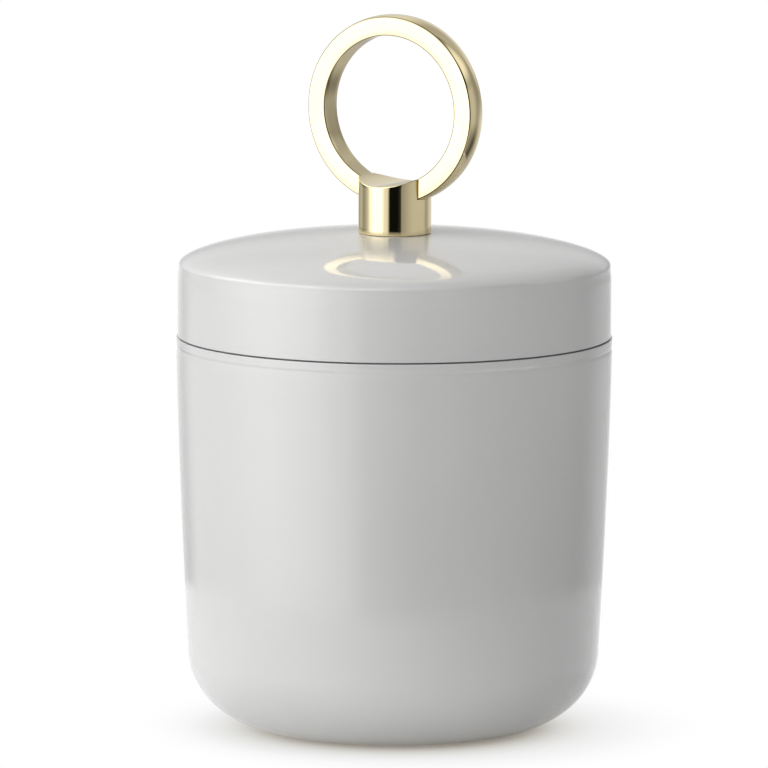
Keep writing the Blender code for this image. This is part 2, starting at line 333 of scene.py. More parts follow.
def body_mesh():
    """The cup: floor, inner wall, rim, grooved outer wall, heel, and the recess for the pad."""
    recess_radius = radius_of("base_pad") + SEAT_GAP
    recess_top = FOOT + PAD_RECESS_DEPTH
    floor_top = recess_top + GAUGE
    round_top = BODY_TOP - RIM_ROUND
    zone_low = round_top - GROOVE_ZONE
    profile = [(0.0, floor_top)]
    floor = heel_profile(GAUGE, floor_top, INNER_HEEL_ROWS)[::-1]
    line_to(profile, floor[0], rows=6)
    profile += floor[1:] + wall_points(HEEL_TOP, round_top, GAUGE, INNER_WALL_ROWS)[1:-1]
    profile += corner((BODY_RADIUS - GAUGE + RIM_ROUND, round_top), RIM_ROUND, 2, 1)
    profile += corner((BODY_RADIUS - RIM_ROUND, round_top), RIM_ROUND, 1, 0)[:-1]
    zone = wall_points(round_top, zone_low, 0.0, GROOVE_ROWS)
    profile += [(radius - groove(z), z) for radius, z in zone]
    profile += wall_points(zone_low, HEEL_TOP, 0.0, WALL_ROWS)[1:]
    profile += heel_profile(0.0, FOOT, HEEL_ROWS)[1:]
    line_to(profile, (recess_radius, FOOT), rows=3)
    line_to(profile, (recess_radius, recess_top))
    line_to(profile, (0.0, recess_top), rows=4)
    return mesh_of("body_lacquered", [turned_grid(profile, full_turn(SHELL_STEPS))])


def collar_mesh():
    """The guide ring in the mouth: a joggled strip with a rounded upper lip."""
    guide, top, low = radius_of("rim_collar"), top_of("rim_collar"), low_of("rim_collar")
    seat = wall_radius(BODY_TOP - COLLAR_BELOW_RIM) - GAUGE - SEAT_GAP
    inner_lead = COLLAR_LEAD_IN / 2
    inner_centre = (guide - COLLAR_GAUGE + inner_lead, top - inner_lead)
    profile = corner((guide - COLLAR_LEAD_IN, top - COLLAR_LEAD_IN), COLLAR_LEAD_IN, 1, 0)
    line_to(profile, (guide, BODY_TOP), rows=6)
    line_to(profile, (seat, BODY_TOP - COLLAR_JOGGLE), rows=3)
    line_to(profile, (seat, low), rows=6)
    line_to(profile, (seat - COLLAR_GAUGE, low), rows=1)
    line_to(profile, (seat - COLLAR_GAUGE, BODY_TOP - COLLAR_JOGGLE), rows=6)
    line_to(profile, (guide - COLLAR_GAUGE, BODY_TOP), rows=3)
    line_to(profile, (guide - COLLAR_GAUGE, top - inner_lead), rows=6)
    profile += corner(inner_centre, inner_lead, 2, 1)[1:] + [profile[0]]
    grid = turned_grid(profile, full_turn(SHELL_STEPS))
    return mesh_of("collar_lacquered", [grid], sharp_degrees=25.0)


def dome_drop(radius):
    """How far the lid's crown has fallen at this radius."""
    return LID_DOME_RADIUS - math.sqrt(LID_DOME_RADIUS**2 - radius**2)


LID_APEX = top_of("lid_shell") + dome_drop(SCREW_HOLE_RADIUS)


def lid_surface(inset, crown_count, corner_count):
    """The lid's top from the screw's hole, out over the crown and the soft corner."""
    start = LID_RADIUS - LID_CORNER_WIDTH
    points = []
    for radius in spaced(SCREW_HOLE_RADIUS, start, crown_count)[:-1]:
        points.append((radius, LID_APEX - inset - dome_drop(radius)))
    for share in shares(corner_count):
        turn = share * QUARTER
        across = math.sin(turn) ** (2 / LID_CORNER_POWER)
        left = max(math.cos(turn), 0.0) ** (2 / LID_CORNER_POWER)
        radius = start + (LID_CORNER_WIDTH - inset) * across
        drop = dome_drop(radius) + LID_CORNER_DROP * (1 - left)
        points.append((radius, LID_APEX - inset - drop))
    return points


def eased_shoulder(points, end):
    """Lets the corner run out softly into the skirt, over a short reach below its end."""
    eased = []
    for radius, height in points:
        share = min(max(1 - (end - height) / LID_SHOULDER_REACH, 0.0), 1.0)
        inset = LID_SHOULDER_EASE * share**2 * (3 - 2 * share)
        eased.append((LID_RADIUS - math.hypot(LID_RADIUS - radius, inset), height))
    return eased


def lid_mesh():
    """The lid: crown, eased shoulder and skirt, then back up inside to the screw's hole."""
    outer = lid_surface(0.0, CROWN_ROWS, LID_CORNER_ROWS)
    inner = lid_surface(GAUGE, INNER_CROWN_ROWS, INNER_LID_CORNER_ROWS)
    skirt_low = LID_RIM + LID_RIM_ROUND
    inner_radius = LID_RADIUS - GAUGE
    skirt = between(outer[-1], (LID_RADIUS, skirt_low), SKIRT_ROWS)[1:-1]
    profile = eased_shoulder(outer + skirt, outer[-1][1])
    profile += corner((LID_RADIUS - LID_RIM_ROUND, skirt_low), LID_RIM_ROUND, 0, -1)
    profile += corner((inner_radius + LID_RIM_ROUND, skirt_low), LID_RIM_ROUND, -1, -2)
    line_to(profile, inner[-1], rows=8)
    profile += inner[-2::-1] + [outer[0]]
    return mesh_of("lid_lacquered", [turned_grid(profile, full_turn(SHELL_STEPS))])


def ring_mesh():
    """A ring whose outer face is softly crowned, with eased edges all round."""
    half, ease, bore_ease = RING_HALF_DEPTH, RING_EASE, RING_BORE_EASE
    shoulder = RING_RADIUS - RING_CROWN
    lean = 2 * RING_CROWN / (half - ease) / QUARTER
    outer, inner = shoulder - ease * math.cos(lean * QUARTER), RING_BORE + bore_ease
    reach = half - ease * (1 - math.sin(lean * QUARTER))
    profile = corner((outer, half - ease), ease, 1, lean)
    for side in spaced(1.0, -1.0, RING_CROWN_ROWS)[1:-1]:
        profile.append((RING_RADIUS - RING_CROWN * side**2, reach * side))
    profile += corner((outer, ease - half), ease, -lean, -1)
    line_to(profile, (inner, -half), rows=3)
    profile += corner((inner, bore_ease - half), bore_ease, -1, -2)[1:]
    line_to(profile, (RING_BORE, half - bore_ease), rows=4)
    profile += corner((inner, half - bore_ease), bore_ease, -2, -3)[1:]
    line_to(profile, (outer, half), rows=3)
    mesh = mesh_of("ring_polished", [turned_grid(profile, full_turn(RING_STEPS))])
    upright = Matrix.Rotation(QUARTER, 4, "X")
    mesh.transform(Matrix.Translation((0, 0, RING_CENTRE)) @ upright)
    return mesh


# Plan of the post: two cheeks beside the slot, with an eased corner at each end of its walls
HALF_SLOT = RING_HALF_DEPTH + SLOT_FIT
CHORD_Y = HALF_SLOT + POST_EASE
CHORD_X = math.sqrt((POST_RADIUS - POST_EASE) ** 2 - CHORD_Y**2)
EDGE_ANGLE = math.atan2(CHORD_Y, CHORD_X)
CORNER_ANGLES = spaced(-QUARTER, EDGE_ANGLE, CORNER_ROWS)
CHEEK_ANGLES = spaced(EDGE_ANGLE, math.pi - EDGE_ANGLE, CHEEK_STEPS)
END_ANGLES = spaced(-EDGE_ANGLE, EDGE_ANGLE, SLOT_STEPS)


def saddle(x):
    """Height of the post's top, which follows the ring's bore."""
    return RING_CENTRE - math.sqrt(RING_BORE**2 - x**2)


def slot_floor(x, y):
    """Height of the slot's floor, which follows the ring's crowned outer face."""
    side = min(abs(y) / RING_HALF_DEPTH, 1.0)
    radius = RING_RADIUS - RING_CROWN * side**2 + SLOT_FIT
    return RING_CENTRE - math.sqrt(radius**2 - x**2)


def eased_corner(radius):
    """The plan of a cheek's corner, from the slot's wall to the post's round."""
    return [(CHORD_X + radius * math.cos(a), CHORD_Y + radius * math.sin(a)) for a in CORNER_ANGLES]


def cheek_outline(inset):
    """The cheek's plan, at this distance inside its walls, once round from its corner."""
    near = eased_corner(POST_EASE - inset)
    far = [(-x, y) for x, y in near[::-1]]
    radius = POST_RADIUS - inset
    arc = [(radius * math.cos(a), radius * math.sin(a)) for a in CHEEK_ANGLES]
    y = HALF_SLOT + inset * SLOT_EASE_SHARE
    wall = [(x, y) for x in spaced(-CHORD_X, CHORD_X, CHEEK_STEPS)]
    return near + arc + far + wall


def cheek_wall(side):
    """A cheek's walls, from its eased top edge down to the slot's floor."""
    rows = []
    for share in shares(CHEEK_ROWS):
        row = []
        for x, y in cheek_outline(0.0):
            top, low = saddle(x) - POST_EASE, slot_floor(x, y)
            row.append((x, side * y, top + (low - top) * share))
        rows.append(row)
    return rows


def cheek_edge(side):
    """The eased edge round a cheek's top."""
    rows = []
    for share in shares(CORNER_ROWS):
        turn = share * QUARTER
        drop = POST_EASE * (1 - math.sin(turn))
        outline = cheek_outline(POST_EASE * (1 - math.cos(turn)))
        rows.append([(x, side * y, saddle(x) - drop) for x, y in outline])
    return rows


def cheek_top(side):
    """The saddle's face on a cheek, from the chord beside the slot out to the round."""
    radius = POST_RADIUS - POST_EASE
    rows = []
    for share in shares(SLOT_STEPS):
        row = []
        for along, angle in zip(shares(CHEEK_STEPS), CHEEK_ANGLES):
            x = (1 - share) * CHORD_X * (1 - 2 * along) + share * radius * math.cos(angle)
            y = (1 - share) * CHORD_Y + share * radius * math.sin(angle)
            row.append((x, side * y, saddle(x)))
        rows.append(row)
    return rows


def floor_row(x, y):
    """A row over the slot's floor, from one of its walls to the other."""
    return [(x, side, slot_floor(x, side)) for side in spaced(y, -y, SLOT_STEPS)]


def slot_bottom():
    """The slot's floor between its walls, and its two round ends under the ring."""
    fillet = eased_corner(POST_EASE)
    middle = [(x, HALF_SLOT) for x in spaced(CHORD_X, -CHORD_X, CHEEK_STEPS)]
    outline = fillet[::-1] + middle + [(-x, y) for x, y in fillet]
    grids = [[floor_row(x, y) for x, y in outline]]
    end_x, end_y = fillet[-1]
    for side in (1, -1):
        arc = [(side * POST_RADIUS * math.cos(a), POST_RADIUS * math.sin(a)) for a in END_ANGLES]
        end = [(x, y, slot_floor(x, y)) for x, y in arc[::-1]]
        grids.append([end, floor_row(side * end_x, end_y)])
    return grids


def dressed_braze():
    """The braze over the slot, dressed flush, so that the saddle is one smooth face."""
    reach = CHORD_Y + 2 * POST_EASE
    rows = []
    for x in spaced(CHORD_X, -CHORD_X, CHEEK_STEPS):
        row = []
        for y in spaced(reach, -reach, 2 * SLOT_STEPS):
            inside = min((reach - abs(y)) / POST_EASE, 1.0)
            row.append((x, y, saddle(x) + BRAZE_LIFT * (2 * inside - 1)))
        rows.append(row)
    return rows


def post_wall(around, low):
    """The post's round wall, from the slot's floor down to this height."""
    rows = []
    for share in shares(CHEEK_ROWS):
        row = []
        for angle in around:
            x, y = POST_RADIUS * math.cos(angle), POST_RADIUS * math.sin(angle)
            start = slot_floor(x, y)
            row.append((x, y, start + (low - start) * share))
        rows.append(row)
    return rows


def post_foot(turned_top):
    """The turned foot's profile, with the gasket's recess and the screw's hole."""
    foot = LID_APEX - dome_drop(POST_RADIUS) + POST_SEAT
    recess = radius_of("post_gasket") + SEAT_GAP
    recess_top = low_of("handle_post") + GASKET_RECESS_DEPTH
    thread_top = low_of("handle_post") + POST_THREAD_DEPTH
    profile = [(POST_RADIUS, turned_top)]
    line_to(profile, (POST_RADIUS, foot + POST_EASE), rows=8)
    profile += corner((POST_RADIUS - POST_EASE, foot + POST_EASE), POST_EASE, 0, -1)[1:]
    line_to(profile, (recess, foot))
    line_to(profile, (recess, recess_top))
    line_to(profile, (SCREW_HOLE_RADIUS, recess_top))
    line_to(profile, (SCREW_HOLE_RADIUS, thread_top))
    line_to(profile, (0.0, thread_top))
    return profile


def post_mesh():
    """The turned post with its slot, its two cheeks under the saddle, and its hollow foot."""
    half = END_ANGLES[:-1] + CHEEK_ANGLES[:-1]
    around = half + [math.pi + angle for angle in half] + [TURN - EDGE_ANGLE]
    turned_top = RING_CENTRE - RING_RADIUS - POST_TURNED_BELOW_RING
    grids = []
    for side in (1, -1):
        grids += [cheek_wall(side), cheek_edge(side), cheek_top(side)]
    grids += slot_bottom()
    grids += [dressed_braze(), post_wall(around, turned_top)]
    grids.append(turned_grid(post_foot(turned_top), around))
    return mesh_of("post_polished", grids)


def screw_head(seat):
    """The button head, from its seat round the side and the dome to the socket's rim."""
    head_radius = radius_of("handle_screw")
    dome = []
    for turn in spaced(0.0, math.acos(SCREW_FACE_RADIUS / head_radius), SCREW_DOME_ROWS):
        height = seat - SCREW_SIDE - SCREW_CROWN * math.sin(turn)
        dome.append((head_radius * math.cos(turn), height))
    profile = [(THREAD_RADIUS - THREAD_DEPTH, seat)]
    line_to(profile, (head_radius - PLATED_EASE, seat), rows=3)
    profile += corner((head_radius - PLATED_EASE, seat - PLATED_EASE), PLATED_EASE, 1, 0)[1:]
    line_to(profile, dome[0])
    return turned_grid(profile + dome[1:], full_turn(SMALL_STEPS))


def socket_row(width_share, height):
    """A hexagonal row of the socket, at this share of its width."""
    row = []
    for angle in full_turn(SMALL_STEPS):
        off = (angle + SIXTH / 2) % SIXTH - SIXTH / 2
        radius = SOCKET_HALF_WIDTH * width_share / math.cos(off)
        row.append((radius * math.cos(angle), radius * math.sin(angle), height))
    return row


def screw_socket(rim):
    """The hex socket, from this rim of the head's face to the blunt point of its drill."""
    face = rim[0][2]
    point = face + SOCKET_DEPTH + SOCKET_POINT
    rows = [rim, socket_row(1 + SOCKET_CHAMFER / SOCKET_HALF_WIDTH, face)]
    rows += [socket_row(1.0, face + SOCKET_CHAMFER), socket_row(1.0, face + SOCKET_DEPTH)]
    rows += [socket_row(SOCKET_POINT_SHARE, point), [(0.0, 0.0, point)] * len(rim)]
    return rows


def screw_thread(seat, tip):
    """The rolled thread, from a plain stretch under the head up to its run-out at the tip."""
    core = THREAD_RADIUS - THREAD_DEPTH
    angles = full_turn(SMALL_STEPS)
    rows = []
    for z in spaced(seat, tip, int((tip - seat) / THREAD_PITCH * THREAD_ROWS_PER_TURN)):
        run_in = min(1.0, (tip - z) / THREAD_PITCH)
        row = []
        for angle in angles:
            phase = (z / THREAD_PITCH - angle / TURN) % 1.0
            cut = THREAD_DEPTH * abs(2 * phase - 1)
            radius = (THREAD_RADIUS - cut) * run_in + core * (1 - run_in)
            if z - seat < THREAD_PITCH / 2:
                radius = core
            row.append((radius * math.cos(angle), radius * math.sin(angle), z))
        rows.append(row)
    return [*rows, [(0.0, 0.0, tip)] * len(angles)]


def screw_mesh():
    """A button-head screw, head down: domed head, hex socket and a rolled thread."""
    seat = low_of("handle_screw") + SCREW_SIDE + SCREW_CROWN
    head = screw_head(seat)
    grids = [head, screw_socket(head[-1]), screw_thread(seat, top_of("handle_screw"))]
    return mesh_of("screw_plated", grids, sharp_degrees=30.0)


def load_washer_mesh():
    """The wide flat washer, with its edges eased."""
    radius, low, top = radius_of("load_washer"), low_of("load_washer"), top_of("load_washer")
    hole, hole_ease = SCREW_HOLE_RADIUS, PLATED_EASE / 2
    profile = corner((radius - PLATED_EASE, top - PLATED_EASE), PLATED_EASE, 1, 0)
    profile += corner((radius - PLATED_EASE, low + PLATED_EASE), PLATED_EASE, 0, -1)
    line_to(profile, (hole + hole_ease, low), rows=4)
    profile += [(hole, low + hole_ease), (hole, top - hole_ease), (hole + hole_ease, top)]
    line_to(profile, (radius - PLATED_EASE, top), rows=4)
    return mesh_of("load_washer_plated", [turned_grid(profile, full_turn(SMALL_STEPS))])


def lock_washer_mesh():
    """A split ring whose two ends stand a little apart in height."""
    ease = LOCK_WASHER_EASE
    outer, inner = radius_of("lock_washer") - ease, SCREW_HOLE_RADIUS + ease
    upper, lower = top_of("lock_washer") - ease, low_of("lock_washer") + ease
    section = []
    for first, centre in (
        (1, (outer, upper)),
        (0, (outer, lower)),
        (-1, (inner, lower)),
        (-2, (inner, upper)),
    ):
        section += corner(centre, ease, first, first - 1, LOCK_WASHER_CORNER_ROWS)
    gap = LOCK_WASHER_SLIT / 2 / SCREW_HOLE_RADIUS
    rows = []
    for share, angle in zip(shares(SMALL_STEPS), spaced(gap, TURN - gap, SMALL_STEPS)):
        lift = LOCK_WASHER_SPRING * (share - 0.5)
        closed = [(r, z + lift) for r, z in section + section[:1]]
        rows.append([(r * math.cos(angle), r * math.sin(angle), z) for r, z in closed])
    return mesh_of("lock_washer_plated", [rows], caps=[rows[0][:-1], rows[-1][:-1]])


def felt_mesh(name, node, edge):
    """A felt disc with a soft cut edge. Its surface is slightly uneven, as pressed wool is."""
    radius, low, top = radius_of(node), low_of(node), top_of(node)
    profile = [(0.0, top)]
    line_to(profile, (radius - edge, top), FELT_ROWS)
    profile += corner((radius - edge, top - edge), edge, 1, 0, SMALL_CORNER_ROWS)[1:]
    profile += corner((radius - edge, low + edge), edge, 0, -1, SMALL_CORNER_ROWS)
    line_to(profile, (0.0, low), FELT_ROWS)
    grid = []
    for row in turned_grid(profile, full_turn(SHELL_STEPS)):
        uneven_row = []
        for point in row:
            x, y, z = point
            lumps = noise.noise(Vector(point) / FELT_LUMP) * FELT_UNEVEN
            tufts = noise.noise(Vector(point) / FELT_TUFT) * FELT_UNEVEN * FELT_TUFT_SHARE
            inward = FELT_UNEVEN + lumps + tufts
            pull = inward if z > (low + top) / 2 else 0.0
            rim_share = max(0.0, math.hypot(x, y) - radius + 2 * edge) / (2 * edge)
            grow = 1 - rim_share * (inward / radius)
            uneven_row.append((x * grow, y * grow, z - pull))
        grid.append(uneven_row)
    return mesh_of(name, [grid], sharp_degrees=80.0)


def node_adder(tree):
    """A short call that adds a node to this tree and sets or links its sockets."""

    def add(kind, values=(), **settings):
        node = tree.nodes.new(kind)
        for key, value in settings.items():
            setattr(node, key, value)
        for key, value in dict(values).items():
            socket = node.inputs[key]
            if isinstance(value, bpy.types.NodeSocket):
                tree.links.new(value, socket)
            else:
                socket.default_value = value
        return node

    return add


def maths(add, operation, *values):
    return add("ShaderNodeMath", dict(enumerate(values)), operation=operation).outputs[0]


def length_of(add, vector):
    return add("ShaderNodeVectorMath", {0: vector}, operation="LENGTH").outputs["Value"]


def scaled(add, vector, scale):
    values = {0: vector, "Scale": scale}
    return add("ShaderNodeVectorMath", values, operation="SCALE").outputs[0]


def soft_step(add, value, start, end, low=0.0, high=1.0):
    """Rises softly from low to high while the value goes from start to end."""
    values = {"Value": value, "From Min": start, "From Max": end, "To Min": low, "To Max": high}
    return add("ShaderNodeMapRange", values, interpolation_type="SMOOTHSTEP").outputs[0]


def grain(add, place, size, detail, distortion=0.0, stretch=(1.0, 1.0, 1.0)):
    """A noise from 0 to 1 whose lumps are about this size, in metres."""
    stretched = add("ShaderNodeVectorMath", {0: place, 1: stretch}, operation="MULTIPLY").outputs[0]
    scale = NOISE_CELLS_PER_LUMP / size
    values = {"Vector": stretched, "Scale": scale, "Detail": detail, "Distortion": distortion}
    return add("ShaderNodeTexNoise", values).outputs["Fac"]


def rgba(colour):
    return colour if isinstance(colour, bpy.types.NodeSocket) else (*colour, 1.0)


def blend_colours(add, share, low, high):
    """A mix whose colours are its inputs 6 and 7, and whose colour result is output 2."""
    values = {0: share, 6: rgba(low), 7: rgba(high)}
    return add("ShaderNodeMix", values, data_type="RGBA").outputs[2]


def spread(add, value, low, high):
    """The middle of a noise, stretched to run from low to high."""
    middle = {"From Min": NOISE_MIDDLE[0], "From Max": NOISE_MIDDLE[1]}
    values = {"Value": value, **middle, "To Min": low, "To Max": high}
    return add("ShaderNodeMapRange", values).outputs[0]


def bump(add, height, depth):
    return add("ShaderNodeBump", {"Height": height, "Strength": 1.0, "Distance": depth}).outputs[0]


def shader_socket(key):
    """The shader's name for a socket that a keyword names, such as coat_ior."""
    return key.replace("_", " ").title().replace("Ior", "IOR")


def new_material(name, **constants):
    """A Principled material. The constants are set on the shader's own sockets."""
    material = bpy.data.materials.new(name)
    material.use_nodes = True
    tree = material.node_tree
    shader = tree.nodes["Principled BSDF"]
    for key, value in constants.items():
        shader.inputs[shader_socket(key)].default_value = value
    add = node_adder(tree)
    place = add("ShaderNodeTexCoord").outputs["Object"]

    def link(**sockets):
        for key, socket in sockets.items():
            tree.links.new(socket, shader.inputs[shader_socket(key)])

    return material, add, place, link


def lacquer_material():
    """High-gloss light grey lacquer: a clear coat with a trace of orange peel, over even colour."""
    material, add, place, link = new_material(
        "grey_lacquer", metallic=0.0, coat_weight=1.0, coat_roughness=0.07, coat_ior=1.5
    )
    cloud = spread(add, grain(add, place, LACQUER_CLOUD, detail=3.0), 0.0, 1.0)
    peel = grain(add, place, LACQUER_PEEL, detail=1.0)
    swell = maths(add, "MULTIPLY", grain(add, place, LACQUER_SWELL, detail=0.0), LACQUER_SWELL_WEIGHT)
    link(
        base_color=blend_colours(add, cloud, LACQUER_DARK, LACQUER_LIGHT),
        roughness=spread(add, peel, *LACQUER_ROUGH),
        coat_normal=bump(add, maths(add, "ADD", peel, swell), LACQUER_PEEL_DEPTH),
    )
    return material


def painted_ring_edge_shade(add, place):
    """1 in a thin line along the ring's outer and bore edges, on both faces, where shade is painted
    on the ring.
    """
    parts = add("ShaderNodeSeparateXYZ", {0: place}).outputs
    height = maths(add, "SUBTRACT", parts["Z"], RING_CENTRE)
    upright = add("ShaderNodeCombineXYZ", {0: parts["X"], 1: height}).outputs[0]
    radius = length_of(add, upright)
    side_off = maths(add, "SUBTRACT", maths(add, "ABSOLUTE", parts["Y"]), RING_HALF_DEPTH)
    painted_shade_lines = []
    for edge_radius in (RING_RADIUS - RING_CROWN, RING_BORE):
        radius_off = maths(add, "SUBTRACT", radius, edge_radius)
        off = add("ShaderNodeCombineXYZ", {0: radius_off, 1: side_off}).outputs[0]
        past = soft_step(add, length_of(add, off), *EDGE_SHADE_LINE)
        painted_shade_lines.append(maths(add, "SUBTRACT", 1.0, past))
    return maths(add, "MAXIMUM", *painted_shade_lines)


def brass_material(name, with_painted_edge_shade=False):
    """Polished pale brass with the last trace of polishing waves. With the edge shade, a dark line of
    painted shade runs along the ring's edges.
    """
    material, add, place, link = new_material(name, metallic=1.0)
    cloud = spread(add, grain(add, place, BRASS_CLOUD, detail=2.0), 0.0, 1.0)
    wave = grain(add, place, BRASS_WAVE, detail=1.0)
    haze = grain(add, place, BRASS_HAZE, detail=3.0, stretch=BRASS_HAZE_STRETCH)
    colour = blend_colours(add, cloud, BRASS_DARK, BRASS_LIGHT)
    if with_painted_edge_shade:
        # Painted shade: the ring's colour darkens along its edges.
        share = maths(add, "MULTIPLY", painted_ring_edge_shade(add, place), EDGE_SHADE_SHARE)
        colour = blend_colours(add, share, colour, BRASS_PAINTED_EDGE_SHADE)
    link(
        base_color=colour,
        roughness=spread(add, haze, *BRASS_ROUGH),
        normal=bump(add, wave, BRASS_WAVE_DEPTH),
    )
    return material


def steel_material():
    """Bright zinc plating, a little cloudy, with a fine grain."""
    material, add, place, link = new_material("zinc_plated_steel", metallic=1.0)
    cloud = spread(add, grain(add, place, STEEL_CLOUD, detail=3.0), 0.0, 1.0)
    fine = grain(add, place, STEEL_GRAIN, detail=2.0)
    link(
        base_color=blend_colours(add, cloud, STEEL_DARK, STEEL_LIGHT),
        roughness=spread(add, cloud, *STEEL_ROUGH),
        normal=bump(add, fine, STEEL_GRAIN_DEPTH),
    )
    return material


def felt_material():
    """Pressed wool: crossing fibres that show as light and dark strands."""
    material, add, place, link = new_material(
        "charcoal_felt", metallic=0.0, sheen_weight=0.35, sheen_roughness=0.6
    )
    layers = []
    for stretch in (FELT_STRANDS_ALONG_X, FELT_STRANDS_ALONG_Y):
        layers.append(grain(add, place, FELT_STRAND, 2.0, FELT_STRAND_WAVE, stretch))
    strands = maths(add, "MAXIMUM", *layers)
    mottle = grain(add, place, FELT_MOTTLE, detail=3.0)
    strand_tone = maths(add, "MULTIPLY", strands, FELT_STRAND_SHARE)
    mottle_tone = maths(add, "MULTIPLY", mottle, 1 - FELT_STRAND_SHARE)
    tone = spread(add, maths(add, "ADD", strand_tone, mottle_tone), 0.0, 1.0)
    link(
        base_color=blend_colours(add, tone, FELT_DARK, FELT_LIGHT),
        roughness=spread(add, mottle, *FELT_ROUGH),
        normal=bump(add, strands, FELT_STRAND_DEPTH),
    )
    return material


def rubber_material():
    """Matt black rubber with a fine grain."""
    material, add, place, link = new_material("black_rubber", metallic=0.0)
    fine = grain(add, place, RUBBER_GRAIN, detail=3.0)
    link(
        base_color=blend_colours(add, fine, RUBBER_DARK, RUBBER_LIGHT),
        roughness=spread(add, fine, *RUBBER_ROUGH),
        normal=bump(add, fine, RUBBER_GRAIN_DEPTH),
    )
    return material


def add_pieces():
    """The dressed pieces, each on its body and in place of its solid."""
    lacquer = lacquer_material()
    brass = brass_material("polished_brass")
    ring_brass = brass_material("polished_ring_brass_painted_edge_shade", with_painted_edge_shade=True)
    steel = steel_material()
    add_piece("body_lacquered", body_mesh(), "box", lacquer, "lacquer", "body_shell")
    add_piece("collar_lacquered", collar_mesh(), "box", lacquer, "lacquer", "rim_collar")
    add_piece("lid_lacquered", lid_mesh(), "lid", lacquer, "lacquer", "lid_shell")
    add_piece("ring_polished", ring_mesh(), "lid", ring_brass, "brass", "handle_ring")
    add_piece("post_polished", post_mesh(), "lid", brass, "brass", "handle_post")
    add_piece("screw_plated", screw_mesh(), "lid", steel, "steel", "handle_screw")
    add_piece("load_washer_plated", load_washer_mesh(), "lid", steel, "steel", "load_washer")
    add_piece("lock_washer_plated", lock_washer_mesh(), "lid", steel, "steel", "lock_washer")
    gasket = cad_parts["post_gasket"]
    gasket.data.materials.clear()
    gasket.data.materials.append(rubber_material())


def add_felts():
    """The padded disc under the base, and the loose disc of sheet felt on the floor inside."""
    felt = felt_material()
    pad = felt_mesh("felt_pad", "base_pad", PAD_EDGE)
    add_piece("felt_pad", pad, "box", felt, "felt", "base_pad")
    lining = felt_mesh("felt_lining", "floor_lining", LINING_EDGE)
    lining_piece = add_piece("felt_lining", lining, "box", felt, "felt", "floor_lining")


# Camera, fitted to the photograph, whose frame is 768 pixels wide
FRAME_PIXELS = 768
CAMERA_AZIMUTH = math.radians(30.3)
CAMERA_ELEVATION = math.radians(7.757)
CAMERA_ROLL = math.radians(0.186)
CAMERA_DISTANCE = 2.1172
CAMERA_AIM_HEIGHT = 0.0700
CAMERA_LENS = 491.4
CAMERA_SENSOR = 36.0
CAMERA_SHIFT_PIXELS = -10.2
CAMERA_NEAR = 0.05
CAMERA_FAR = 50.0

# Level directions to the right of the camera and away from it
RIGHTWARD = Vector((math.cos(CAMERA_AZIMUTH), math.sin(CAMERA_AZIMUTH), 0.0))
AWAY = Vector((-math.sin(CAMERA_AZIMUTH), math.cos(CAMERA_AZIMUTH), 0.0))


def make_camera():
    """A long lens, a little above the box and turned to the side of the ring's face."""
    lens = bpy.data.cameras.new("camera")
    lens.lens = CAMERA_LENS
    lens.sensor_width = CAMERA_SENSOR
    lens.shift_x = CAMERA_SHIFT_PIXELS / FRAME_PIXELS
    lens.clip_start = CAMERA_NEAR
    lens.clip_end = CAMERA_FAR
    back = Vector((0, 0, math.sin(CAMERA_ELEVATION))) - AWAY * math.cos(CAMERA_ELEVATION)
    camera = bpy.data.objects.new("camera", lens)
    camera.location = Vector((0, 0, CAMERA_AIM_HEIGHT)) + back * CAMERA_DISTANCE
    level = (-back).to_track_quat("-Z", "Y").to_matrix().to_4x4()
    camera.rotation_euler = (level @ Matrix.Rotation(CAMERA_ROLL, 4, "Z")).to_euler()
    bpy.context.scene.collection.objects.link(camera)
    bpy.context.scene.camera = camera


# Soft panels of the studio, as seen from the camera, in degrees: azimuth to the right with half
# the width and the softness of the left and right sides, elevation with half the height and its
# softness, and the strength.
PANELS = {
    "back_wall": (136, 100, 30, 14, 2, 19, 8, 0.30),
    "left_low": (-49, 39, 11, 27, -68, 53, 8, 1.02),
    "key": (-56, 20, 8, 8, -4, 20, 8, 0.37),
    "overhead": (-63, 62, 17, 8, 35, 12, 8, 2.34),
    "overhead_rear": (-95, 96, 11, 8, 61, 38, 8, 0.37),
    "right_fill": (110, 19, 8, 19, 36, 14, 8, 1.01),
    "left_rear": (-121, 21, 10, 13, -26, 20, 6, 0.46),
    "front_top": (-73, 33, 17, 8, 43, 20, 8, 0.66),
    "left_strip": (-63, 23, 14, 5, -3, 6, 5, 0.86),
    "left_edge": (-59, 39, 20, 5, -19, 35, 5, 0.89),
    "right_band": (66, 46, 2, 12, -26, 43, 5, 0.28),
    "rear_top": (198, 62, 8, 8, 33, 28, 8, 0.45),
    "right_rear": (155, 26, 16, 15, -25, 22, 8, 0.47),
    "right_foot": (67, 19, 14, 8, -51, 32, 8, 1.92),
    "high_right": (97, 37, 30, 18, 75, 20, 8, 0.33),
    "lamp": (-77, 21, 8, 8, 60, 10, 7, 1.97),
    "backdrop": (188, 15, 15, 10, -5, 6, 5, 0.57),
    "front_fill": (4, 35, 8, 24, 64, 26, 8, 0.86),
}
STUDIO_BASE = 0.005


def panel_window(add, off, half, low_fade, high_fade):
    """1 about a panel's middle, falling softly to 0 past half its size, which is in degrees."""
    edges = []
    for place, fade in ((-half, low_fade), (half, high_fade)):
        start, end = math.radians(place - fade), math.radians(place + fade)
        edges.append(soft_step(add, off, start, end))
    return maths(add, "SUBTRACT", *edges)


